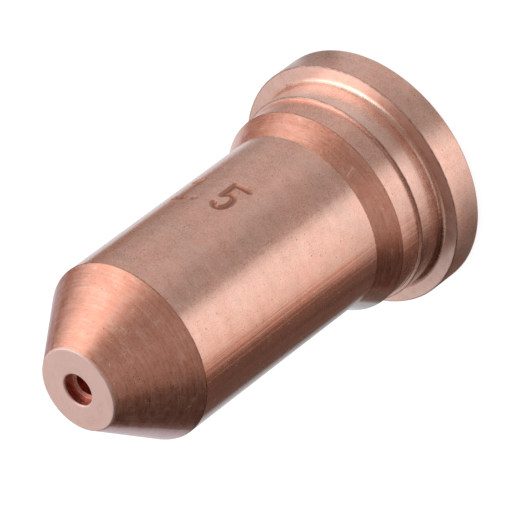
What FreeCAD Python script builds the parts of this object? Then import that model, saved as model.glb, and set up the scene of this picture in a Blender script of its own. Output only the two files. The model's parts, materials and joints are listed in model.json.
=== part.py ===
import FreeCAD, Part
import os

import Sketcher

# Plasma torch nozzle: one piece of copper, turned outside and bored inside.
# It stands on its flange with the tip up. The origin is the centre of the rear face,
# the axis is +Z and all lengths are in millimetres.

DRIVING_SIZES = [
    ("overall_length", 28.25, "rear face to tip face"),
    ("body_diameter", 12.0, "long round body"),
    ("collar_rise", 0.875, "collar above the body, on the radius"),
    ("pilot_step", 0.225, "pilot above the collar, on the radius"),
    ("flange_width", 1.125, "flange above the pilot, on the radius"),
    ("flange_thickness", 2.2, "rear face to the flange's front face"),
    ("pilot_length", 2.0, "flange's front face to the small step"),
    ("collar_length", 1.6, "small step to the flare"),
    ("flare_length", 1.5, "cone between collar and body"),
    ("nose_length", 4.7, "shoulder to tip face"),
    ("tip_diameter", 5.5, "tip face before its edge is rounded"),
    ("body_wall", 1.6, "body's surface to the electrode bore"),
    ("ring_seat_width", 1.3, "seat of the gas ring, on the radius"),
    ("ring_bore_depth", 4.6, "rear face to the seat of the gas ring"),
    ("seat_angle", 45.0, "degrees between the converging seat and the axis"),
    ("orifice_diameter", 1.5, "nozzle bore, the size marked on the body"),
    ("orifice_length", 2.6, "straight length of the nozzle bore"),
    ("exit_rim", 0.3, "counterbore in the tip face beyond the orifice, on the radius"),
    ("exit_depth", 0.8, "tip face to the bottom of the counterbore"),
    ("flange_corner_radius", 0.3, "fillet between the pilot and the flange"),
    ("flange_edge_chamfer", 0.1, "broken edge on the flange's two rims"),
    ("tip_edge_radius", 0.12, "rounding between tip face and nose"),
    ("exit_edge_chamfer", 0.1, "broken edge on the counterbore's mouth"),
    ("ring_bore_chamfer", 0.3, "lead-in for the gas ring"),
    ("electrode_bore_chamfer", 0.2, "lead-in for the electrode"),
    ("seat_blend_radius", 0.8, "fillet where the electrode bore meets the seat"),
]


def make_sheet(document):
    """Write the driving sizes to the spreadsheet, one named cell each."""
    sheet = document.addObject("Spreadsheet::Sheet", "Sizes")
    for row, (name, value, meaning) in enumerate(DRIVING_SIZES, start=1):
        sheet.set(f"A{row}", name)
        sheet.set(f"B{row}", str(value))
        sheet.set(f"C{row}", meaning)
        sheet.setAlias(f"B{row}", name)
    document.recompute()


def origin_plane(body, role):
    """Find one of the body's own origin planes."""
    return next(plane for plane in body.Origin.OriginFeatures if plane.Role == role)


def add_section(body, name, corners):
    """Draw half a section, a closed outline, from its corners.

    Each corner gives its radius and its height above the rear face as expressions on the
    sheet. A radius of None lies on the axis, and a height of None on the rear face.
    """
    sketch = body.newObject("Sketcher::SketchObject", name)
    sketch.AttachmentSupport = (origin_plane(body, "XZ_Plane"), "")
    sketch.MapMode = "FlatFace"
    points = [FreeCAD.Vector(0 if radius is None else float(body.evalExpression(radius)),
                             0 if height is None else float(body.evalExpression(height)), 0)
              for radius, height in corners]
    count = len(corners)
    for i in range(count):
        sketch.addGeometry(Part.LineSegment(points[i], points[(i + 1) % count]), False)
    for i in range(count):
        sketch.addConstraint(Sketcher.Constraint("Coincident", i, 2, (i + 1) % count, 1))

    root_point, rear_face, axis = (-1, 1), -1, -2
    for i, (radius, height) in enumerate(corners):
        if radius is None:
            sketch.addConstraint(Sketcher.Constraint("PointOnObject", i, 1, axis))
        else:
            across = sketch.addConstraint(
                Sketcher.Constraint("DistanceX", *root_point, i, 1, points[i].x))
            sketch.setExpression(f"Constraints[{across}]", radius)
        if height is None:
            sketch.addConstraint(Sketcher.Constraint("PointOnObject", i, 1, rear_face))
        else:
            up = sketch.addConstraint(
                Sketcher.Constraint("DistanceY", *root_point, i, 1, points[i].y))
            sketch.setExpression(f"Constraints[{up}]", height)
    sketch.Visibility = False
    return sketch


def round_edge(feature, radius_rule, height_rule):
    """Name the circular edge of a feature at one radius and height, given as expressions."""
    radius = float(feature.evalExpression(radius_rule))
    height = float(feature.evalExpression(height_rule))
    for number, edge in enumerate(feature.Shape.Edges, start=1):
        if not isinstance(edge.Curve, Part.Circle):
            continue
        same_radius = abs(edge.Curve.Radius - radius) < 1e-6
        same_height = abs(edge.Curve.Center.z - height) < 1e-6
        if same_radius and same_height:
            return f"Edge{number}"
    raise RuntimeError(f"no round edge at radius {radius}, height {height}")


def dress_edges(body, kind, name, size_property, size_cell, edges):
    """Round or chamfer the named circular edges of the body as it stands."""
    base = body.Tip
    feature = body.newObject(f"PartDesign::{kind}", name)
    feature.Base = (base, [round_edge(base, radius, height) for radius, height in edges])
    feature.setExpression(size_property, f"Sizes.{size_cell}")
    body.Document.recompute()
    return feature


def revolve(body, kind, name, sketch):
    """Turn a half section once round the axis, to add or to cut."""
    feature = body.newObject(f"PartDesign::{kind}", name)
    feature.Profile = sketch
    feature.ReferenceAxis = (sketch, ["V_Axis"])
    feature.Angle = 360.0
    body.Document.recompute()
    return feature


def make_nozzle(document):
    """Turn the outside, bore the inside and break the edges."""
    body = document.addObject("PartDesign::Body", "nozzle")
    body.Label = "nozzle"
    body.Placement = FreeCAD.Placement()

    body_radius = "Sizes.body_diameter / 2"
    collar_radius = f"{body_radius} + Sizes.collar_rise"
    pilot_radius = f"{collar_radius} + Sizes.pilot_step"
    flange_radius = f"{pilot_radius} + Sizes.flange_width"
    tip_radius = "Sizes.tip_diameter / 2"
    flange_front = "Sizes.flange_thickness"
    step = f"{flange_front} + Sizes.pilot_length"
    collar_front = f"{step} + Sizes.collar_length"
    body_start = f"{collar_front} + Sizes.flare_length"
    tip = "Sizes.overall_length"
    shoulder = f"{tip} - Sizes.nose_length"
    outside = add_section(body, "outside_section", [
        (None, None),
        (flange_radius, None),
        (flange_radius, flange_front),
        (pilot_radius, flange_front),
        (pilot_radius, step),
        (collar_radius, step),
        (collar_radius, collar_front),
        (body_radius, body_start),
        (body_radius, shoulder),
        (tip_radius, tip),
        (None, tip),
    ])
    revolve(body, "Revolution", "turned_outside", outside)

    electrode_radius = f"{body_radius} - Sizes.body_wall"
    ring_radius = f"{electrode_radius} + Sizes.ring_seat_width"
    ring_seat = "Sizes.ring_bore_depth"
    orifice_radius = "Sizes.orifice_diameter / 2"
    exit_radius = f"{orifice_radius} + Sizes.exit_rim"
    orifice_exit = f"{tip} - Sizes.exit_depth"
    orifice_entry = f"{orifice_exit} - Sizes.orifice_length"
    seat_depth = f"({electrode_radius} - {orifice_radius}) / tan(Sizes.seat_angle * 1 deg)"
    seat_start = f"{orifice_entry} - {seat_depth}"
    inside = add_section(body, "inside_section", [
        (None, None),
        (ring_radius, None),
        (ring_radius, ring_seat),
        (electrode_radius, ring_seat),
        (electrode_radius, seat_start),
        (orifice_radius, orifice_entry),
        (orifice_radius, orifice_exit),
        (exit_radius, orifice_exit),
        (exit_radius, tip),
        (None, tip),
    ])
    volume_before = body.Shape.Volume
    revolve(body, "Groove", "bored_inside", inside)
    if body.Shape.Volume >= volume_before:
        raise RuntimeError("the bore cuts nothing")

    dress_edges(body, "Fillet", "flange_corner", "Radius", "flange_corner_radius",
                [(pilot_radius, flange_front)])
    dress_edges(body, "Chamfer", "flange_rims", "Size", "flange_edge_chamfer",
                [(flange_radius, "0"), (flange_radius, flange_front)])
    dress_edges(body, "Fillet", "tip_edge", "Radius", "tip_edge_radius",
                [(tip_radius, tip)])
    dress_edges(body, "Chamfer", "exit_edge", "Size", "exit_edge_chamfer",
                [(exit_radius, tip)])
    dress_edges(body, "Fillet", "seat_blend", "Radius", "seat_blend_radius",
                [(electrode_radius, seat_start)])
    dress_edges(body, "Chamfer", "ring_bore_lead", "Size", "ring_bore_chamfer",
                [(ring_radius, "0")])
    dress_edges(body, "Chamfer", "electrode_bore_lead", "Size", "electrode_bore_chamfer",
                [(electrode_radius, ring_seat)])
    return body


def check(document, bodies):
    """Stop if any object failed or any sub-part has no valid shape."""
    for item in document.Objects:
        if "Invalid" in item.State or "Error" in item.State:
            raise RuntimeError(f"{item.Label} did not build: {item.State}")
    for body in bodies:
        if body.Shape.isNull() or not body.Shape.isValid() or len(body.Shape.Solids) != 1:
            raise RuntimeError(f"{body.Label} is not one valid solid")


document = FreeCAD.newDocument("plasma_nozzle")
make_sheet(document)
bodies = [make_nozzle(document)]
document.recompute()
check(document, bodies)

os.makedirs("parts", exist_ok=True)
for body in bodies:
    body.Shape.exportStep(f"parts/{body.Label}.step")
    print(f"{body.Label}: volume {body.Shape.Volume:.3f} mm3")
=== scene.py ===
import json
import math

import bpy
from mathutils import Matrix, Vector


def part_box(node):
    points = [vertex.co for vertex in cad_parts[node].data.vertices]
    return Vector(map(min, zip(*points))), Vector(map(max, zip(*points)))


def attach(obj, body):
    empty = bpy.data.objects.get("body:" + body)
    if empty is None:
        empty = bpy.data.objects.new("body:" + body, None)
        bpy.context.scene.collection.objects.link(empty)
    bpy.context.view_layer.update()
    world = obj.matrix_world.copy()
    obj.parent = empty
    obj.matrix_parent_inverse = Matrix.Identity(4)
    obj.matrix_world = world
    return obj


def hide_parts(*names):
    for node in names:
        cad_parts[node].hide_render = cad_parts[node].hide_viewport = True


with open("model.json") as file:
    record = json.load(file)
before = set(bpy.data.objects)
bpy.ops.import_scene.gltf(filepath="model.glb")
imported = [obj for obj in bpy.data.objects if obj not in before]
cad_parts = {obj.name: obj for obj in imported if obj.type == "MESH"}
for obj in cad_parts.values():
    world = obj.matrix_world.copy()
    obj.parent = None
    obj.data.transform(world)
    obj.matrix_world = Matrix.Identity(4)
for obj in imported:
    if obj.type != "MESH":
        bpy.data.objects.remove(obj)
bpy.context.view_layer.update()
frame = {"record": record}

# Camera: a long lens above the nozzle, rolled so that the tip points down to the left.
# It looks straight at a point on the nozzle's axis, two fifths of the way up.
MM = 0.001
IMAGE_WIDTH_PX = 512
FOCAL_LENGTH_PX = 5522.4
AIM_HEIGHT = 11.52 * MM
CAMERA_DISTANCE = 335.2 * MM
CAMERA_ELEVATION = math.radians(38.26)
CAMERA_ROLL = math.radians(-126.96)
SENSOR_WIDTH_MM = 36.0
NEAREST_SEEN, FARTHEST_SEEN = 0.01, 20.0

camera_data = bpy.data.cameras.new("camera")
camera_data.sensor_width = SENSOR_WIDTH_MM
camera_data.lens = FOCAL_LENGTH_PX / IMAGE_WIDTH_PX * SENSOR_WIDTH_MM
camera_data.clip_start = NEAREST_SEEN
camera_data.clip_end = FARTHEST_SEEN
camera = bpy.data.objects.new("camera", camera_data)
bpy.context.scene.collection.objects.link(camera)
aim = Vector((0.0, 0.0, AIM_HEIGHT))
towards_camera = Vector((0.0, -math.cos(CAMERA_ELEVATION), math.sin(CAMERA_ELEVATION)))
look = (-towards_camera).to_track_quat("-Z", "Y").to_matrix().to_4x4()
camera.matrix_world = (Matrix.Translation(aim + towards_camera * CAMERA_DISTANCE) @ look
                       @ Matrix.Rotation(CAMERA_ROLL, 4, "Z"))
bpy.context.scene.camera = camera
bpy.context.scene.view_settings.view_transform = "Standard"


# Floor: a wide sheet of white paper. The camera and the metal see it white, and it keeps
# a part of the soft shadow that one overhead lamp draws round the flange.


class Flow:
    """A socket of a node tree. Operators on it add the Math nodes of an expression."""

    def __init__(self, tree, socket=None):
        self.tree = tree
        self.socket = socket

    def node(self, kind, settings=None, sockets=None, result=0):
        """Add any node: its settings first, then the values or links of its sockets."""
        made = self.tree.nodes.new(kind)
        for name, value in (settings or {}).items():
            setattr(made, name, value)
        for key, value in (sockets or {}).items():
            if isinstance(value, Flow):
                self.tree.links.new(value.socket, made.inputs[key])
            else:
                made.inputs[key].default_value = value
        return Flow(self.tree, made.outputs[result]) if made.outputs else Flow(self.tree)

    def other(self, result):
        """Another result of the node that this one comes from."""
        return Flow(self.tree, self.socket.node.outputs[result])

    def maths(self, operation, *others):
        """A Math node with this value first and the others after it."""
        return self.node("ShaderNodeMath", {"operation": operation},
                         dict(enumerate((self, *others))))

    def __add__(self, value):
        return self.maths("ADD", value)

    def __radd__(self, value):
        return self.maths("ADD", value)

    def __sub__(self, value):
        return self.maths("SUBTRACT", value)

    def __rsub__(self, value):
        return self.maths("MULTIPLY_ADD", -1.0, value)

    def __mul__(self, value):
        return self.maths("MULTIPLY", value)

    def __rmul__(self, value):
        return self.maths("MULTIPLY", value)

    def __truediv__(self, value):
        return self.maths("DIVIDE", value)

    def __gt__(self, value):
        return self.maths("GREATER_THAN", value)

    def __lt__(self, value):
        return self.maths("LESS_THAN", value)

    def step(self, low, high):
        """0 below low, 1 above high and a smooth ramp between, either way round."""
        return self.node("ShaderNodeMapRange", {"interpolation_type": "SMOOTHSTEP"},
                         {"Value": self, "From Min": low, "From Max": high})

    def blend(self, first, second):
        """The colour between two colours, with this value as the share of the second."""
        return self.node("ShaderNodeMix", {"data_type": "RGBA"}, {0: self, 6: first, 7: second}, 2)


def new_material(name):
    """An empty material, with a Flow to build its nodes from."""
    material = bpy.data.materials.new(name)
    material.use_nodes = True
    material.node_tree.nodes.clear()
    return material, Flow(material.node_tree)


def new_mesh_object(name, points, edges=(), faces=()):
    """A linked object with a mesh of these points, edges and faces."""
    mesh = bpy.data.meshes.new(name)
    mesh.from_pydata(points, edges, faces)
    made = bpy.data.objects.new(name, mesh)
    bpy.context.scene.collection.objects.link(made)
    return made


WHITE = (1.0, 1.0, 1.0, 1.0)
BLACK = (0.0, 0.0, 0.0, 1.0)
FLOOR_RADIUS = 3.0
FLOOR_CORNERS = 64
PAPER_COLOUR = (0.9, 0.9, 0.9, 1.0)
PAPER_WHITE_SHARE = 0.86

floor_rim = [(FLOOR_RADIUS * math.cos(2 * math.pi * i / FLOOR_CORNERS),
              FLOOR_RADIUS * math.sin(2 * math.pi * i / FLOOR_CORNERS), 0.0)
             for i in range(FLOOR_CORNERS)]
floor = new_mesh_object("floor", floor_rim, faces=[tuple(range(FLOOR_CORNERS))])
paper, flow = new_material("white_paper")
light_path = flow.node("ShaderNodeLightPath", result="Is Camera Ray")
seen = (light_path + light_path.other("Is Glossy Ray")
        + light_path.other("Is Transmission Ray")).step(0.0, 1.0)
lit = flow.node("ShaderNodeBsdfDiffuse", sockets={"Color": PAPER_COLOUR})
white = flow.node("ShaderNodeEmission", sockets={"Color": WHITE, "Strength": 1.0})
shown = flow.node("ShaderNodeMixShader",
                  sockets={0: seen * PAPER_WHITE_SHARE, 1: lit, 2: white})
underneath = flow.node("ShaderNodeNewGeometry", result="Backfacing")
clear = flow.node("ShaderNodeBsdfTransparent")
sheet = flow.node("ShaderNodeMixShader", sockets={0: underneath, 1: shown, 2: clear})
flow.node("ShaderNodeOutputMaterial", sockets={"Surface": sheet})
floor.data.materials.append(paper)

# Lamp and room: a wide soft disk overhead draws the shadow on the paper, and the metal
# doesn't mirror it. The white room lights the paper evenly.
LAMP_PLACE = (0.1, 0.1, 0.5)
LAMP_SIZE = 0.45
LAMP_POWER = 4.0

lamp_data = bpy.data.lights.new("overhead_lamp", "AREA")
lamp_data.shape = "DISK"
lamp_data.size = LAMP_SIZE
lamp_data.energy = LAMP_POWER
lamp = bpy.data.objects.new("overhead_lamp", lamp_data)
lamp.location = LAMP_PLACE
lamp.rotation_euler = Vector(LAMP_PLACE).to_track_quat("Z", "Y").to_euler()
lamp.visible_glossy = False
bpy.context.scene.collection.objects.link(lamp)

world = bpy.data.worlds.new("studio")
bpy.context.scene.world = world
world.use_nodes = True
world.node_tree.nodes.clear()
sky = Flow(world.node_tree)
backdrop = sky.node("ShaderNodeBackground", sockets={"Color": WHITE, "Strength": 1.0})
sky.node("ShaderNodeOutputWorld", sockets={"Surface": backdrop})


# Light tent: a cloth dome with white, grey and black cards, which only the metal sees.
# Turned copper is a mirror drawn out along its axis, so its bands are these cards.
TENT_RADIUS = 160 * MM
TENT_FOOT_RADIUS = 8.25 * MM
TENT_FOOT_HEIGHT = 0.03 * MM
TENT_SIDES = 96
TENT_RINGS = 24
TENT_PEAK = 2.4
TENT_GREY = 0.5
# Cloths lie under the papers on the floor, cards over them. Each is the middle in degrees
# round from +X, half width, softness, lowest and highest edge in degrees above the floor,
# softness, brightness.
CLOTHS = [
    (-95, 62, 20, 2, 100, 6, 0.31),
    (-150, 26, 18, 2, 100, 6, 0.18),
    (-118, 26, 14, 2, 20, 5, 0.5),
    (93, 44, 16, 4, 100, 10, 0.74),
    (-143, 47, 9, -10, 3, 3, 1.13),
    (-44, 14, 14, -10, 3, 3, 0.6),
    (30, 26, 12, -10, 3, 3, 0.36),
]
CARDS = [
    (6, 24, 16, 4, 34, 5, 1.08),
    (7, 37, 18, 34, 70, 8, 2.3),
    (162, 36.5, 8, 1, 44, 4, 0.03),
]
# What is on the floor is seen below the first angle and is full below the second, in degrees.
FLOOR_RISES = (4, 1)
FAR_FROM, FAR_TO = 38 * MM, 75 * MM
# Black paper beyond a line through one point. The bearing is of the side it lies on, and
# the softness and the fringe of its edge are shares of the distance from the axis.
BLACK_PAPER_POINT = (-14.6 * MM, -5.2 * MM)
BLACK_PAPER_SIDE = math.radians(118)
BLACK_PAPER_SOFTNESS = 0.34
BLACK_PAPER_NEAR, BLACK_PAPER_FAR = 0.2, 0.04
FRINGE = 0.75
FIBRES_ROUND = 9
FIBRE_LENGTH = 30 * MM
# White paper behind the nozzle: brightness near and far, at its east and its west end.
WHITE_PAPER_EAST = (0.86, 0.28)
WHITE_PAPER_WEST = (0.66, 0.55)
WEST_FROM, WEST_TO = 15 * MM, -15 * MM
NEAR_WHITE = (0.96, 0.99, 1.03, 1.0)
FAR_WHITE = (0.9, 1.0, 1.2, 1.0)
# where each of its edges crosses the X axis, the bearing of the side it lies on, softness
WHITE_PAPER_EDGES = [
    (7.9 * MM, math.radians(148), 2.4 * MM),
    (-4.1 * MM, math.radians(39.3), 0.8 * MM),
]
# Shades close to the flange: the middle in degrees, half width where it starts and where it
# is full, distances from the axis where it starts, is full, fades and ends, brightness.
FOOT_SHADES = [
    (-157, 58, 6, 8 * MM, 8.2 * MM, 9.2 * MM, 10.4 * MM, 0.23),
    (-172, 62, 8, 9.2 * MM, 10.4 * MM, 11.0 * MM, 15 * MM, 0.11),
    (-18, 17, 6, 8 * MM, 8.2 * MM, 9.2 * MM, 10.4 * MM, 0.29),
]
# tints: the dark cloths, the floor on the south-west side and the black paper
WARM_SHADE = (1.0, 0.88, 0.82, 1.0)
GOLD_SHADE = (0.84, 0.71, 0.64, 1.0)
GOLD_FROM, GOLD_TO = math.radians(-112), math.radians(-160)
BROWN_SHADE = (1.0, 0.62, 0.5, 1.0)

tent_profile = [(TENT_FOOT_RADIUS, TENT_FOOT_HEIGHT)]
tent_profile += [(TENT_RADIUS * math.cos(a), TENT_FOOT_HEIGHT + TENT_RADIUS * math.sin(a))
                 for a in (math.pi / 2 * i / TENT_RINGS for i in range(TENT_RINGS))]
around_tent = [2 * math.pi * j / TENT_SIDES for j in range(TENT_SIDES)]
points = [(r * math.cos(a), r * math.sin(a), z) for r, z in tent_profile for a in around_tent]
top = len(points)
points.append((0.0, 0.0, TENT_FOOT_HEIGHT + TENT_RADIUS))
faces = [(i * TENT_SIDES + j, i * TENT_SIDES + (j + 1) % TENT_SIDES,
          (i + 1) * TENT_SIDES + (j + 1) % TENT_SIDES, (i + 1) * TENT_SIDES + j)
         for i in range(TENT_RINGS) for j in range(TENT_SIDES)]
faces += [(TENT_RINGS * TENT_SIDES + j, TENT_RINGS * TENT_SIDES + (j + 1) % TENT_SIDES, top)
          for j in range(TENT_SIDES)]
tent = new_mesh_object("light_tent", points, faces=faces)
cloth, flow = new_material("tent_cloth")
place = flow.node("ShaderNodeTexCoord", result="Object")
across = flow.node("ShaderNodeSeparateXYZ", sockets={0: place})
east, north, height = across, across.other("Y"), across.other("Z")
bearing = north.maths("ARCTAN2", east)
reach = (east * east + north * north).maths("SQRT")
rise = height.maths("ARCTAN2", reach)


def cover(brightness, share, level):
    """The brightness where a share of the cloth is covered at another level."""
    return brightness * (1 - share) + share * level


def near_bearing(middle, outer, inner):
    """1 within one angle of a bearing and 0 beyond another, all in degrees."""
    apart = (bearing - math.radians(middle)).maths("COSINE").maths("ARCCOSINE")
    return apart.step(math.radians(outer), math.radians(inner))


def lay(brightness, middle, half, edge, low, high, fade, level):
    """Lay one soft-edged card over the tent's cloth."""
    card = (near_bearing(middle, half + edge, half - edge)
            * rise.step(math.radians(low - fade), math.radians(low + fade))
            * rise.step(math.radians(high + fade), math.radians(high - fade)))
    return cover(brightness, card, level)


brightness = flow.node("ShaderNodeValue")
brightness.socket.default_value = TENT_GREY
for card in CLOTHS:
    brightness = lay(brightness, *card)
far = reach.step(FAR_FROM, FAR_TO)
on_floor = rise.step(math.radians(FLOOR_RISES[0]), math.radians(FLOOR_RISES[1]))
fibre = flow.node("ShaderNodeCombineXYZ", sockets={"X": east / reach * FIBRES_ROUND,
                                                   "Y": north / reach * FIBRES_ROUND,
                                                   "Z": reach / FIBRE_LENGTH})
fibre = flow.node("ShaderNodeTexNoise", sockets={"Vector": fibre, "Scale": 1.0, "Detail": 2.0})
beyond = ((east - BLACK_PAPER_POINT[0]) * math.cos(BLACK_PAPER_SIDE)
          + (north - BLACK_PAPER_POINT[1]) * math.sin(BLACK_PAPER_SIDE))
beyond = beyond / reach + (fibre - 0.5) * FRINGE
black = beyond.step(-BLACK_PAPER_SOFTNESS, BLACK_PAPER_SOFTNESS) * on_floor
paper_black = (BLACK_PAPER_NEAR + far * (BLACK_PAPER_FAR - BLACK_PAPER_NEAR)) * (fibre * 2.4 - 0.2)
brightness = cover(brightness, black, paper_black)
east_white = WHITE_PAPER_EAST[0] + far * (WHITE_PAPER_EAST[1] - WHITE_PAPER_EAST[0])
west_white = WHITE_PAPER_WEST[0] + far * (WHITE_PAPER_WEST[1] - WHITE_PAPER_WEST[0])
paper_white = cover(east_white, east.step(WEST_FROM, WEST_TO), west_white)
ahead = on_floor
for edge_x, side, softness in WHITE_PAPER_EDGES:
    inside = (east - edge_x) * math.cos(side) + north * math.sin(side)
    ahead = ahead * inside.step(-softness, softness)
brightness = cover(brightness, ahead, paper_white)
for middle, outer, inner, start, full, last, end, level in FOOT_SHADES:
    foot = near_bearing(middle, outer, inner) * reach.step(start, full) * reach.step(end, last)
    brightness = cover(brightness, foot, level)
for card in CARDS:
    brightness = lay(brightness, *card)
tint = brightness.step(0.1, 0.75).blend(WARM_SHADE, WHITE)
tint = (bearing.step(GOLD_FROM, GOLD_TO) * on_floor).blend(tint, GOLD_SHADE)
tint = black.step(0.05, 0.6).blend(tint, BROWN_SHADE)
tint = ahead.blend(tint, far.blend(NEAR_WHITE, FAR_WHITE))
glow = (brightness / TENT_PEAK).blend(BLACK, tint)
lamp_cloth = flow.node("ShaderNodeEmission", sockets={"Color": glow, "Strength": TENT_PEAK})
flow.node("ShaderNodeOutputMaterial", sockets={"Surface": lamp_cloth})
tent.data.materials.append(cloth)
tent.visible_camera = False
tent.visible_diffuse = False
tent.visible_shadow = False


# Nozzle: one piece of solid copper, turned outside and bored inside on a lathe, with the
# size of its bore engraved on the body. The section below is turned once round the axis,
# and a V cutter then follows the number's strokes over the body's surface.
mounts = {mount["name"]: mount for mount in frame["record"]["mounts"]}


def wall(name):
    """Radius, lowest and highest level of one of the record's round walls."""
    dims = mounts[name]["dims"]
    middle = mounts[name]["pos_m"][2]
    half = dims["length_mm"] * MM / 2
    return dims["r_mm"] * MM, middle - half, middle + half


_, node_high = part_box("nozzle")
TIP_LEVEL = node_high[2]
FLANGE_RADIUS = node_high[0]
FLANGE_LEVEL = mounts["clamp_shoulder"]["pos_m"][2]
PILOT_RADIUS, _, STEP_LEVEL = wall("pilot")
COLLAR_RADIUS, _, COLLAR_LEVEL = wall("collar")
RING_RADIUS, _, RING_LEVEL = wall("ring_seat")
ELECTRODE_RADIUS = wall("electrode_bore")[0]
ORIFICE_RADIUS, ENTRY_LEVEL, EXIT_LEVEL = wall("orifice")
SEAT_LEVEL = ENTRY_LEVEL - (ELECTRODE_RADIUS - ORIFICE_RADIUS)
BODY_RADIUS = 6.0 * MM
BODY_LEVEL = COLLAR_LEVEL + 1.5 * MM
SHOULDER_LEVEL = TIP_LEVEL - 4.7 * MM
TIP_RADIUS = 2.75 * MM
EXIT_RADIUS = ORIFICE_RADIUS + 0.3 * MM
RING_CHAMFER = 0.3 * MM
ELECTRODE_CHAMFER = 0.2 * MM
FLANGE_CORNER = 0.3 * MM
TIP_CORNER = 0.12 * MM
EXIT_CORNER = 0.13 * MM

# kinds of cut, stored on the faces for the copper below
FACED, CONED, TURNED, BORED = range(4)
# radius, level, radius of the rounded corner, cut of the surface that follows
SECTION = [
    (RING_RADIUS + RING_CHAMFER, 0.0, 0.04 * MM, FACED),
    (FLANGE_RADIUS, 0.0, 0.1 * MM, TURNED),
    (FLANGE_RADIUS, FLANGE_LEVEL, 0.06 * MM, FACED),
    (PILOT_RADIUS, FLANGE_LEVEL, FLANGE_CORNER, TURNED),
    (PILOT_RADIUS, STEP_LEVEL, 0.05 * MM, FACED),
    (COLLAR_RADIUS, STEP_LEVEL, 0.03 * MM, TURNED),
    (COLLAR_RADIUS, COLLAR_LEVEL, 0.04 * MM, CONED),
    (BODY_RADIUS, BODY_LEVEL, 0.05 * MM, TURNED),
    (BODY_RADIUS, SHOULDER_LEVEL, 0.05 * MM, CONED),
    (TIP_RADIUS, TIP_LEVEL, TIP_CORNER, FACED),
    (EXIT_RADIUS, TIP_LEVEL, EXIT_CORNER, BORED),
    (EXIT_RADIUS, EXIT_LEVEL, 0.03 * MM, FACED),
    (ORIFICE_RADIUS, EXIT_LEVEL, 0.03 * MM, BORED),
    (ORIFICE_RADIUS, ENTRY_LEVEL, 0.1 * MM, BORED),
    (ELECTRODE_RADIUS, SEAT_LEVEL, 0.8 * MM, BORED),
    (ELECTRODE_RADIUS, RING_LEVEL + ELECTRODE_CHAMFER, 0.03 * MM, BORED),
    (ELECTRODE_RADIUS + ELECTRODE_CHAMFER, RING_LEVEL, 0.03 * MM, BORED),
    (RING_RADIUS, RING_LEVEL, 0.1 * MM, BORED),
    (RING_RADIUS, RING_CHAMFER, 0.03 * MM, BORED),
]
# distance of the guard points from a rounded corner's ends
GUARD = 0.05 * MM

MARK_CUT_WIDTH = 0.52 * MM
MARK_CUT_DEPTH = 0.13 * MM
# 0 is a sharp V and 1 a groove with a round bottom
MARK_ROUND_SHARE = 0.45
MARK_BASE_LEVEL = 15.3 * MM
MARK_START = math.radians(-21.5)
# the mesh is fine round the mark, in bearing and in level, and coarse elsewhere
FINE_STEP = 0.045 * MM
FINE_START = math.radians(-61.0)
FINE_SPAN = math.radians(51.0)
FINE_LOW = 12.4 * MM
FINE_HIGH = 15.8 * MM
COARSE_STEPS = 190
CORNER_STEPS = 5

# The number's strokes, in millimetres along the line of writing and above its base.
bowl = [(3.03 + 0.5 * math.cos(math.radians(a)), 0.68 + 0.74 * math.sin(math.radians(a)))
        for a in range(145, -155, -15)]
STROKES = [
    [(-0.5, 2.12), (0.0, 2.35), (0.0, 0.0)],
    [(-0.42, 0.0), (0.42, 0.0)],
    [(1.16, 0.1), (1.2, 0.1)],
    [(3.68, 2.35), (2.58, 2.35), (2.58, 1.1)] + bowl,
]


def around(corners):
    """Each corner of the closed section, between two guard points that keep its sides true.

    An entry is a point, its rounding, the cut that follows and 1 on an outer edge.
    """
    ring = []
    for i, (radius, level, rounding, cut) in enumerate(corners):
        here = Vector((radius, level))
        before = Vector(corners[i - 1][:2]) - here
        after = Vector(corners[(i + 1) % len(corners)][:2]) - here
        tangent = rounding / math.tan(before.angle(after) / 2)
        to_guard = tangent + GUARD
        cut_before = corners[i - 1][3]
        outer = 1.0 if (-before).cross(after) > 0 else 0.0
        if to_guard < before.length / 2:
            ring.append((here + before.normalized() * to_guard, 0.0, cut_before, 0.0))
        ring.append((here, rounding, cut, outer))
        if to_guard < after.length / 2:
            ring.append((here + after.normalized() * to_guard, 0.0, cut, 0.0))
        if radius == BODY_RADIUS and level == BODY_LEVEL:
            count = round((FINE_HIGH - FINE_LOW) / FINE_STEP)
            for k in range(count + 1):
                step_level = FINE_LOW + (FINE_HIGH - FINE_LOW) * k / count
                ring.append((Vector((BODY_RADIUS, step_level)), 0.0, cut, 0.0))
    return ring


ring = around(SECTION)
nozzle = new_mesh_object("nozzle_copper", [(entry[0].x, 0.0, entry[0].y) for entry in ring],
                         [(i, (i + 1) % len(ring)) for i in range(len(ring))])
for column, name in enumerate(("rounding", "cut", "edge"), start=1):
    values = nozzle.data.attributes.new(name, "FLOAT", "POINT")
    for i, entry in enumerate(ring):
        values.data[i].value = entry[column]

stroke_points, stroke_edges = [], []
for stroke in STROKES:
    for k, (along, up) in enumerate(stroke):
        bearing_here = MARK_START - along * MM / BODY_RADIUS
        if k:
            stroke_edges.append((len(stroke_points) - 1, len(stroke_points)))
        stroke_points.append((BODY_RADIUS * math.cos(bearing_here),
                              BODY_RADIUS * math.sin(bearing_here),
                              MARK_BASE_LEVEL - up * MM))
strokes = new_mesh_object("number_strokes", stroke_points, stroke_edges)


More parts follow.
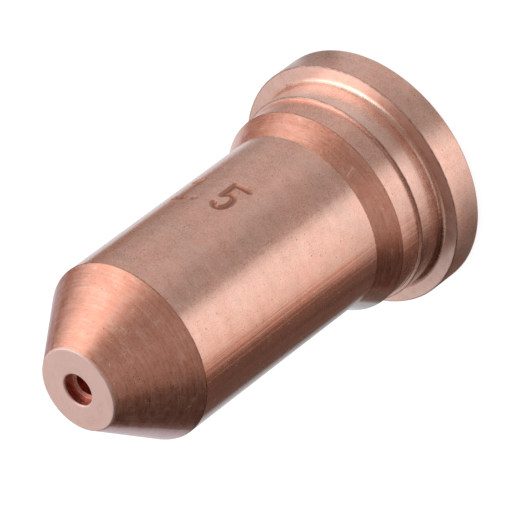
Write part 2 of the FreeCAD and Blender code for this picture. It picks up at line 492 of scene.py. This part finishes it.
def turning_tree():
    """Turn a closed section round Z and cut a V groove along the strokes of the mark."""
    tree = bpy.data.node_groups.new("turning", "GeometryNodeTree")
    face = tree.interface
    face.new_socket("Section", in_out="INPUT", socket_type="NodeSocketGeometry")
    names = {}
    for name, kind in (("Mark", "Object"), ("Corner Steps", "Int"), ("Fine Steps", "Int"),
                       ("Coarse Steps", "Int"), ("Fine Start", "Float"), ("Fine Span", "Float"),
                       ("Groove Width", "Float"), ("Groove Depth", "Float"), ("Metal", "Material")):
        made = face.new_socket(name, in_out="INPUT", socket_type=f"NodeSocket{kind}")
        names[name] = made.identifier
    face.new_socket("Piece", in_out="OUTPUT", socket_type="NodeSocketGeometry")
    flow = Flow(tree)
    given = flow.node("NodeGroupInput", result="Section")
    fine, coarse = given.other("Fine Steps"), given.other("Coarse Steps")

    outline = flow.node("GeometryNodeMeshToCurve", sockets={"Mesh": given})
    radii = flow.node("GeometryNodeInputNamedAttribute", sockets={"Name": "rounding"})
    outline = flow.node("GeometryNodeFilletCurve", {"mode": "POLY"},
                        {"Curve": outline, "Count": given.other("Corner Steps"),
                         "Radius": radii, "Limit Radius": True})
    size = flow.node("GeometryNodeAttributeDomainSize", {"component": "CURVE"}, {0: outline})
    columns = fine + coarse + 1
    surface = flow.node("GeometryNodeMeshGrid",
                        sockets={"Vertices X": size + 1, "Vertices Y": columns})

    # A row of the grid is one corner of the outline, and the last row is the first one again.
    index = flow.node("GeometryNodeInputIndex")
    row = ((index + 0.5) / columns).maths("FLOOR")
    column = index - row * columns
    corner = (row + 0.5).maths("MODULO", size).maths("FLOOR")
    spot = flow.node("GeometryNodeSampleIndex", {"data_type": "FLOAT_VECTOR"},
                     {"Geometry": outline, "Value": flow.node("GeometryNodeInputPosition"),
                      "Index": corner})
    spot = flow.node("ShaderNodeSeparateXYZ", sockets={0: spot})
    radius, level = spot, spot.other("Z")
    fine_part = column.maths("MINIMUM", fine)
    coarse_part = column - fine_part
    angle = (given.other("Fine Start") + fine_part * given.other("Fine Span") / fine
             + coarse_part * (2 * math.pi - given.other("Fine Span")) / coarse)
    cosine, sine = angle.maths("COSINE"), angle.maths("SINE")

    def placed(radius):
        """The points of the grid, turned round Z at the given radius."""
        return flow.node("ShaderNodeCombineXYZ",
                         sockets={"X": radius * cosine, "Y": radius * sine, "Z": level})

    mark = flow.node("GeometryNodeObjectInfo", sockets={"Object": given.other("Mark")},
                     result="Geometry")
    nearest = flow.node("GeometryNodeProximity", {"target_element": "EDGES"},
                        {0: mark, "Sample Position": placed(radius)}, "Distance")
    slope = (1 - nearest * 2 / given.other("Groove Width")).maths("MAXIMUM", 0.0)
    rounded = 1 - (1 - slope) * (1 - slope)
    share = slope * (1 - MARK_ROUND_SHARE) + rounded * MARK_ROUND_SHARE
    edge = flow.node("GeometryNodeInputNamedAttribute", sockets={"Name": "edge"})
    edge = flow.node("GeometryNodeSampleIndex", {"data_type": "FLOAT"},
                     {"Geometry": outline, "Index": corner, "Value": edge})
    for name, value in (("groove", share), ("edge", edge)):
        surface = flow.node("GeometryNodeStoreNamedAttribute",
                            {"data_type": "FLOAT", "domain": "POINT"},
                            {"Geometry": surface, "Name": name, "Value": value})
    surface = flow.node("GeometryNodeSetPosition",
                        sockets={"Geometry": surface,
                                 "Position": placed(radius - share * given.other("Groove Depth"))})

    cut = flow.node("GeometryNodeInputNamedAttribute", sockets={"Name": "cut"})
    face_row = ((index + 0.5) / (columns - 1)).maths("FLOOR")
    face_cut = flow.node("GeometryNodeSampleIndex", {"data_type": "FLOAT"},
                         {"Geometry": outline, "Index": face_row, "Value": cut})
    surface = flow.node("GeometryNodeStoreNamedAttribute", {"data_type": "FLOAT", "domain": "FACE"},
                        {"Geometry": surface, "Name": "cut", "Value": face_cut})
    surface = flow.node("GeometryNodeMergeByDistance",
                        sockets={"Geometry": surface, "Distance": 0.001 * MM})
    surface = flow.node("GeometryNodeFlipFaces", sockets={"Mesh": surface})
    surface = flow.node("GeometryNodeSetShadeSmooth", sockets={"Geometry": surface})
    surface = flow.node("GeometryNodeRealizeInstances", sockets={"Geometry": surface})
    surface = flow.node("GeometryNodeSetMaterial",
                        sockets={"Geometry": surface, "Material": given.other("Metal")})
    flow.node("NodeGroupOutput", sockets={0: surface})
    return tree, names


# Copper: bare metal under a thin clear film, with a tint for each kind of cut, and the
# tool marks, pits, scratches and worn edges of the photograph.
# Part of this colour is painted light: a painted sheen on one side of the cones, a painted
# highlight and painted shade on the pilot, painted shade on one side of the flange face and of the
# collar, stronger grain in the body's highlight, and painted shade in the bore and at the bottom of
# the engraved groove.
CYLINDER_COPPER = (0.94, 0.475, 0.345, 1.0)
CONE_COPPER = (0.93, 0.385, 0.255, 1.0)
FACE_COPPER = (0.93, 0.575, 0.475, 1.0)
# darker and redder than the outside copper: painted shade inside the bore
SHADED_BORE_COPPER = (0.62, 0.18, 0.125, 1.0)
TIP_COPPER = (0.86, 0.58, 0.51, 1.0)
PALE = (1.0, 0.66, 0.54, 1.0)
TARNISH = (0.66, 0.42, 0.31, 1.0)
BROWN = (0.3, 0.095, 0.05, 1.0)
SPECK = (0.48, 0.2, 0.12, 1.0)
# near black, for the bottom of the engraved groove: painted shade
GROOVE_BOTTOM_SHADE = (0.09, 0.035, 0.025, 1.0)
GROOVE_RED = (0.48, 0.18, 0.105, 1.0)
ROUGHNESS = 0.39
FACED_ROUGHER = 0.08
ANISOTROPY = 0.8
QUARTER_TURN = 0.25
FILM_ROUGHNESS = 0.14
FILM_INDEX = 2.1
TIP_ROUGHNESS = 0.58
TIP_FILM = 0.6
TIP_FILM_ROUGHNESS = 0.5
# period of each pattern: the first two and the bent lines along the tool's feed
STREAK_FEED = 0.13 * MM
BAND_FEED = 0.7 * MM
WAVE_LENGTH = 16 * MM
GRAIN_SIZE = 0.085 * MM
PATCH_SIZE = 0.6 * MM
CLOUD_SIZE = 2.2 * MM
PIT_SPACING = 0.33 * MM
# Sides of the nozzle that look different in the photograph: the bearing each faces, and
# the angles from it where it starts and where it is full, in degrees.
RUBBED_SIDE = (-140, 28, 12)
LIT_SIDE = (-95, 34, 18)
SHEEN_PAINTED_SIDE = (-187, 24, 8)
FACE_SHADE_PAINTED_SIDE = (-135, 18, 7)
COLLAR_SHADE_PAINTED_SIDE = (-22, 22, 8)
PILOT_HIGHLIGHT_PAINTED_SIDE = (-48, 40, 14)
PILOT_SHADE_PAINTED_SIDE = (-168, 36, 12)
WORN_BELOW = 27 * MM
# the tip's finish takes in the ledge at the bottom of the counterbore
TIP_FINISH_FROM = EXIT_LEVEL - 0.05 * MM

copper, flow = new_material("turned_copper")
place = flow.node("ShaderNodeTexCoord", result="Object")
across = flow.node("ShaderNodeSeparateXYZ", sockets={0: place})
east, north, height = across, across.other("Y"), across.other("Z")
radius = (east * east + north * north + 1e-12).maths("SQRT")
cosine, sine = east / radius, north / radius
feed = height - radius


def noise(x, y, z, detail=2.0, rough=0.5):
    """Smooth noise between 0 and 1; the three coordinates are in its own periods."""
    where = flow.node("ShaderNodeCombineXYZ", sockets={"X": x, "Y": y, "Z": z})
    return flow.node("ShaderNodeTexNoise", {"noise_dimensions": "3D"},
                     {"Vector": where, "Scale": 1.0, "Detail": detail, "Roughness": rough})


cut_kind = flow.node("ShaderNodeAttribute", {"attribute_name": "cut"}, result="Fac")
groove = flow.node("ShaderNodeAttribute", {"attribute_name": "groove"}, result="Fac")
edge = flow.node("ShaderNodeAttribute", {"attribute_name": "edge"}, result="Fac")
coned = (cut_kind > 0.5) * (cut_kind < 1.5)
faced = ((cut_kind < 0.5) + (height > TIP_LEVEL - TIP_CORNER)).step(0.0, 1.0)
bored = (cut_kind > 2.5) * (height < TIP_LEVEL - TIP_CORNER)
turned = (cut_kind > 1.5) * (cut_kind < 2.5)
tip = faced * (height > TIP_FINISH_FROM)


def facing(degrees, wide, narrow):
    """1 on the side that faces one bearing, fading out between two angles from it."""
    towards = cosine * math.cos(math.radians(degrees)) + sine * math.sin(math.radians(degrees))
    return towards.step(math.cos(math.radians(wide)), math.cos(math.radians(narrow)))


rubbed = facing(*RUBBED_SIDE)
# Painted sheen: on the side of the cones facing about -187 degrees the colour turns pale and the
# film thickens, less so on the nose.
painted_sheen = coned * facing(*SHEEN_PAINTED_SIDE) * (1 - (height > BODY_LEVEL) * 0.7)
# Painted shade: the flange's faces turn browner, with less film, on the side facing about -135
# degrees.
painted_face_shade = faced * (height < STEP_LEVEL) * facing(*FACE_SHADE_PAINTED_SIDE)
# Painted shade: the collar takes the cones' deeper red, with less film, on the side facing about
# -22 degrees.
painted_collar_shade = turned * (height > STEP_LEVEL) * (height < COLLAR_LEVEL) * facing(*COLLAR_SHADE_PAINTED_SIDE)
seated = turned * (height > FLANGE_LEVEL) * (height < STEP_LEVEL)
lit = (turned - seated) * facing(*LIT_SIDE)
corner = turned * (height > FLANGE_LEVEL) * (height < FLANGE_LEVEL + FLANGE_CORNER)

# Tool marks run round the axis, in streaks a few millimetres long.
streaks = noise(cosine * 3.5, sine * 3.5, feed / STREAK_FEED, 4.0, 0.75)
bands = noise(cosine * 1.5, sine * 1.5, feed / BAND_FEED, 2.0)
waves = noise(cosine * 22, sine * 22, height / WAVE_LENGTH, 2.0)
grain = noise(east / GRAIN_SIZE, north / GRAIN_SIZE, height / GRAIN_SIZE, 1.0)
patches = noise(east / PATCH_SIZE + 9, north / PATCH_SIZE, height / PATCH_SIZE, 2.0)
cloud = noise(east / CLOUD_SIZE, north / CLOUD_SIZE, height / CLOUD_SIZE, 3.0, 0.6)

# Pits are the rare small cells of a random pattern, and scratches thin bent lines.
cell = flow.node("ShaderNodeTexVoronoi", {"feature": "F1"},
                 {"Vector": place, "Scale": 1 / PIT_SPACING, "Randomness": 1.0}, "Distance")
chance = flow.node("ShaderNodeSeparateColor", sockets={0: cell.other("Color")})
pit_size = (chance - 0.6).maths("MAXIMUM", 0.0) * 0.3
pits = (cell + (grain - 0.5) * 0.12).step(pit_size + 0.06, pit_size) * (pit_size > 0.004)
tool_line = (noise(cosine * 7, sine * 7 + 5, feed / (0.5 * MM), 1.0) - 0.5).maths("ABSOLUTE")
slant_line = (noise(cosine * 9 + feed / (4 * MM), sine * 9, feed / (6 * MM), 1.0)
              - 0.5).maths("ABSOLUTE")
scratches = (tool_line.step(0.014, 0.003) * patches.step(0.55, 0.62)
             + slant_line.step(0.006, 0.001) * patches.step(0.58, 0.66) * coned)

colour = coned.blend(CYLINDER_COPPER, CONE_COPPER)
colour = faced.blend(colour, FACE_COPPER)
colour = (painted_sheen * 0.95).blend(colour, PALE)
colour = (painted_collar_shade * 0.9).blend(colour, CONE_COPPER)
colour = (painted_face_shade * 0.35).blend(colour, BROWN)
# The bore is a darker, deeper red than the outside: painted shade inside it.
colour = bored.blend(colour, SHADED_BORE_COPPER)
colour = (cloud.step(0.42, 0.72) * 0.5 * turned).blend(colour, TARNISH)
# The pilot is a little paler all round and much paler on the side facing about -48 degrees, a
# painted highlight; on the side facing about -168 degrees it turns brown, painted shade.
colour = (seated * (0.28 + 0.72 * facing(*PILOT_HIGHLIGHT_PAINTED_SIDE))).blend(colour, PALE)
colour = (seated * 0.75 * facing(*PILOT_SHADE_PAINTED_SIDE)).blend(colour, BROWN)
# The grain is stronger on the lit side of the turned surfaces, a painted sparkle in their
# highlight.
grain_share = 1.7 + 0.6 * lit - 1.2 * tip - 1.4 * bored - seated - 0.5 * coned
shade = ((0.5 - grain) * grain_share + (0.5 - streaks) * (0.7 + 1.6 * coned)
         + (0.5 - bands) * 0.5 + (0.5 - patches) * (0.9 - 0.8 * tip - 0.6 * bored)
         + (0.5 - cloud) * 0.4)
dark = shade.maths("MAXIMUM", 0.0)
light = (0 - shade).maths("MAXIMUM", 0.0)
colour = dark.blend(colour, SPECK)
colour = light.blend(colour, PALE)
colour = (pits * 0.7 * (1 - faced) * (1 - bored)).blend(colour, BROWN)
colour = (scratches * (0.35 + 0.3 * coned) * (1 - faced)).blend(colour, PALE)
worn = edge * (1 - bored) * (height < WORN_BELOW) * (0.4 + patches.step(0.4, 0.65) * 0.45)
colour = worn.blend(colour, BROWN)
colour = (groove.step(0.02, 0.3) * 0.7).blend(colour, GROOVE_RED)
# The bottom of the engraved groove turns near black: painted shade.
colour = (groove.step(0.7, 0.92) * 0.4).blend(colour, GROOVE_BOTTOM_SHADE)

roughness = (ROUGHNESS - turned * 0.06 + faced * FACED_ROUGHER - bored * 0.1
             + (grain - 0.5) * (0.45 - 0.35 * bored) + (streaks - 0.5) * 0.25
             + groove.step(0.0, 0.3) * 0.1 + tip * (TIP_ROUGHNESS - ROUGHNESS - FACED_ROUGHER))
film = ((0.7 * coned + 1.1 * painted_sheen + turned + faced + 0.2 * bored)
        * (1 - groove.step(0.0, 0.3) * 0.7) * (1 - 0.6 * corner - 0.45 * painted_face_shade - 0.35 * painted_collar_shade))
# height of the surface, in microns
MICRON = 1e-6
microns = (grain * (5.0 - 3.5 * faced - 4.2 * bored) + streaks * (1.5 + 4.0 * coned)
           + waves * (5.0 + 19.0 * rubbed) * turned
           - pits * 9.0 * (1 - faced) * (1 - coned * 0.5) + scratches * 6.0)
relief = flow.node("ShaderNodeBump",
                   sockets={"Strength": 1.0, "Distance": MICRON, "Height": microns})
turned_metal = flow.node("ShaderNodeBsdfPrincipled",
                         sockets={"Base Color": colour, "Metallic": 1.0,
                                  "Roughness": roughness, "Anisotropic": ANISOTROPY,
                                  "Anisotropic Rotation": QUARTER_TURN, "Coat Weight": film,
                                  "Coat Roughness": FILM_ROUGHNESS, "Coat IOR": FILM_INDEX,
                                  "Normal": relief})
tip_metal = flow.node("ShaderNodeBsdfPrincipled",
                      sockets={"Base Color": dark.blend(TIP_COPPER, BROWN), "Metallic": 1.0,
                               "Roughness": roughness, "Coat Weight": TIP_FILM,
                               "Coat Roughness": TIP_FILM_ROUGHNESS,
                               "Coat IOR": FILM_INDEX, "Normal": relief})
metal = flow.node("ShaderNodeMixShader", sockets={0: tip, 1: turned_metal, 2: tip_metal})
flow.node("ShaderNodeOutputMaterial", sockets={"Surface": metal})

tree, names = turning_tree()
turning = nozzle.modifiers.new("turning", "NODES")
turning.node_group = tree
turning[names["Mark"]] = strokes
turning[names["Corner Steps"]] = CORNER_STEPS
turning[names["Fine Steps"]] = round(FINE_SPAN * BODY_RADIUS / FINE_STEP)
turning[names["Coarse Steps"]] = COARSE_STEPS
turning[names["Fine Start"]] = FINE_START
turning[names["Fine Span"]] = FINE_SPAN
turning[names["Groove Width"]] = MARK_CUT_WIDTH
turning[names["Groove Depth"]] = MARK_CUT_DEPTH
turning[names["Metal"]] = copper
bpy.context.view_layer.update()
evaluated = nozzle.evaluated_get(bpy.context.evaluated_depsgraph_get())
finished = bpy.data.meshes.new_from_object(evaluated)
nozzle.modifiers.clear()
nozzle.data = finished
bpy.data.objects.remove(strokes)
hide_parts("nozzle")
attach(nozzle, "root")
